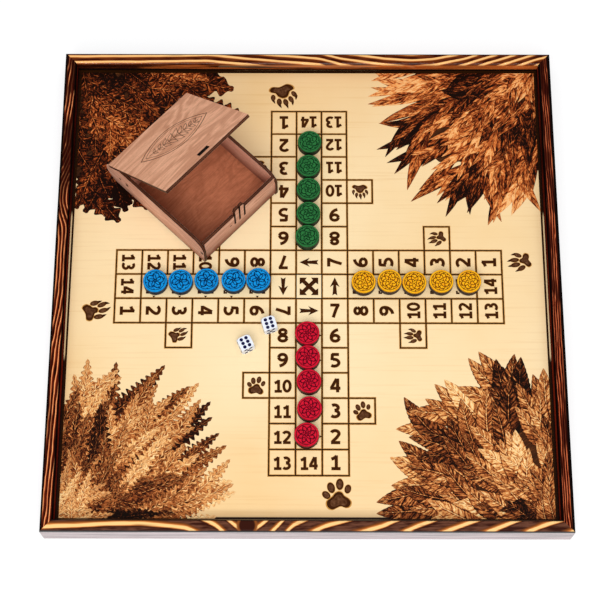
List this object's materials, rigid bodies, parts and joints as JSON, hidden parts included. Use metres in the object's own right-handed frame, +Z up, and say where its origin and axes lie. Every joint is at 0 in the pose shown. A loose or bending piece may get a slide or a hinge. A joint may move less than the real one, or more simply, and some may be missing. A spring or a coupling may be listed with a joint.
{
  "type": "cross-and-circle board game",
  "caption": "Square wooden race-game board with a cross-shaped numbered track in a raised dark frame, with coloured tokens, dice and a hinged plywood storage box.",
  "frame": {"origin": "on the table, under the middle of the board: the middle of the bounding box's bottom face", "axes": "+Z up, +X to the player's right, +Y away from the player"},
  "size_m": [0.45, 0.45, 0.1235],
  "materials": {
    "pale_plywood": "satin varnish over pale plywood, lines and pictures burnt dark brown",
    "rail_wood": "scorched almost black with golden grain, glossy varnish",
    "steel": "bare",
    "token_green": "painted top, dark burnt side",
    "token_red": "painted top, dark burnt side",
    "token_blue": "painted top, dark burnt side",
    "token_yellow": "painted top, dark burnt side",
    "die_plastic": "gloss white, blue pips",
    "box_plywood": "satin varnish, laser-burnt dark edges",
    "box_floor_plywood": "satin varnish, reddish brown"
  },
  "bodies": {
    "board": {"panel": "pale_plywood", "rail_front": "rail_wood", "rail_right": "rail_wood", "rail_back": "rail_wood", "rail_left": "rail_wood", "corner_nails": "steel"},
    "token_green_1": {"token_green_1": "token_green"},
    "token_green_2": {"token_green_2": "token_green"},
    "token_green_3": {"token_green_3": "token_green"},
    "token_green_4": {"token_green_4": "token_green"},
    "token_green_5": {"token_green_5": "token_green"},
    "token_red_1": {"token_red_1": "token_red"},
    "token_red_2": {"token_red_2": "token_red"},
    "token_red_3": {"token_red_3": "token_red"},
    "token_red_4": {"token_red_4": "token_red"},
    "token_red_5": {"token_red_5": "token_red"},
    "token_blue_1": {"token_blue_1": "token_blue"},
    "token_blue_2": {"token_blue_2": "token_blue"},
    "token_blue_3": {"token_blue_3": "token_blue"},
    "token_blue_4": {"token_blue_4": "token_blue"},
    "token_blue_5": {"token_blue_5": "token_blue"},
    "token_yellow_1": {"token_yellow_1": "token_yellow"},
    "token_yellow_2": {"token_yellow_2": "token_yellow"},
    "token_yellow_3": {"token_yellow_3": "token_yellow"},
    "token_yellow_4": {"token_yellow_4": "token_yellow"},
    "token_yellow_5": {"token_yellow_5": "token_yellow"},
    "die_left": {"die_left": "die_plastic"},
    "die_right": {"die_right": "die_plastic"},
    "storage_box": {"box_floor": "box_floor_plywood", "box_side_left": "box_plywood", "box_side_right": "box_plywood", "box_front": "box_plywood", "box_back": "box_plywood", "hinge_pin_left": "box_plywood", "hinge_pin_right": "box_plywood"},
    "lid": {"lid_plate": "box_plywood", "lid_lug_left": "box_plywood", "lid_lug_right": "box_plywood"}
  },
  "joints": [
    {"name": "token_green_1_lift", "type": "slide", "parent": "board", "child": "token_green_1", "axis": [0, 0, 1], "range_m": [0, 0.06]},
    {"name": "token_green_2_lift", "type": "slide", "parent": "board", "child": "token_green_2", "axis": [0, 0, 1], "range_m": [0, 0.06]},
    {"name": "token_green_3_lift", "type": "slide", "parent": "board", "child": "token_green_3", "axis": [0, 0, 1], "range_m": [0, 0.06]},
    {"name": "token_green_4_lift", "type": "slide", "parent": "board", "child": "token_green_4", "axis": [0, 0, 1], "range_m": [0, 0.06]},
    {"name": "token_green_5_lift", "type": "slide", "parent": "board", "child": "token_green_5", "axis": [0, 0, 1], "range_m": [0, 0.06]},
    {"name": "token_red_1_lift", "type": "slide", "parent": "board", "child": "token_red_1", "axis": [0, 0, 1], "range_m": [0, 0.06]},
    {"name": "token_red_2_lift", "type": "slide", "parent": "board", "child": "token_red_2", "axis": [0, 0, 1], "range_m": [0, 0.06]},
    {"name": "token_red_3_lift", "type": "slide", "parent": "board", "child": "token_red_3", "axis": [0, 0, 1], "range_m": [0, 0.06]},
    {"name": "token_red_4_lift", "type": "slide", "parent": "board", "child": "token_red_4", "axis": [0, 0, 1], "range_m": [0, 0.06]},
    {"name": "token_red_5_lift", "type": "slide", "parent": "board", "child": "token_red_5", "axis": [0, 0, 1], "range_m": [0, 0.06]},
    {"name": "token_blue_1_lift", "type": "slide", "parent": "board", "child": "token_blue_1", "axis": [0, 0, 1], "range_m": [0, 0.06]},
    {"name": "token_blue_2_lift", "type": "slide", "parent": "board", "child": "token_blue_2", "axis": [0, 0, 1], "range_m": [0, 0.06]},
    {"name": "token_blue_3_lift", "type": "slide", "parent": "board", "child": "token_blue_3", "axis": [0, 0, 1], "range_m": [0, 0.06]},
    {"name": "token_blue_4_lift", "type": "slide", "parent": "board", "child": "token_blue_4", "axis": [0, 0, 1], "range_m": [0, 0.06]},
    {"name": "token_blue_5_lift", "type": "slide", "parent": "board", "child": "token_blue_5", "axis": [0, 0, 1], "range_m": [0, 0.06]},
    {"name": "token_yellow_1_lift", "type": "slide", "parent": "board", "child": "token_yellow_1", "axis": [0, 0, 1], "range_m": [0, 0.06]},
    {"name": "token_yellow_2_lift", "type": "slide", "parent": "board", "child": "token_yellow_2", "axis": [0, 0, 1], "range_m": [0, 0.06]},
    {"name": "token_yellow_3_lift", "type": "slide", "parent": "board", "child": "token_yellow_3", "axis": [0, 0, 1], "range_m": [0, 0.06]},
    {"name": "token_yellow_4_lift", "type": "slide", "parent": "board", "child": "token_yellow_4", "axis": [0, 0, 1], "range_m": [0, 0.06]},
    {"name": "token_yellow_5_lift", "type": "slide", "parent": "board", "child": "token_yellow_5", "axis": [0, 0, 1], "range_m": [0, 0.06]},
    {"name": "die_left_lift", "type": "slide", "parent": "board", "child": "die_left", "axis": [0, 0, 1], "range_m": [0, 0.06]},
    {"name": "die_right_lift", "type": "slide", "parent": "board", "child": "die_right", "axis": [0, 0, 1], "range_m": [0, 0.06]},
    {"name": "storage_box_lift", "type": "slide", "parent": "board", "child": "storage_box", "axis": [0, 0, 1], "range_m": [0, 0.06]},
    {"name": "lid_hinge", "type": "hinge", "parent": "storage_box", "child": "lid", "pos_m": [-0.13651, 0.12938, 0.0345], "axis": [-0.6896, -0.7242, 0], "range_deg": [-41, 69]}
  ]
}
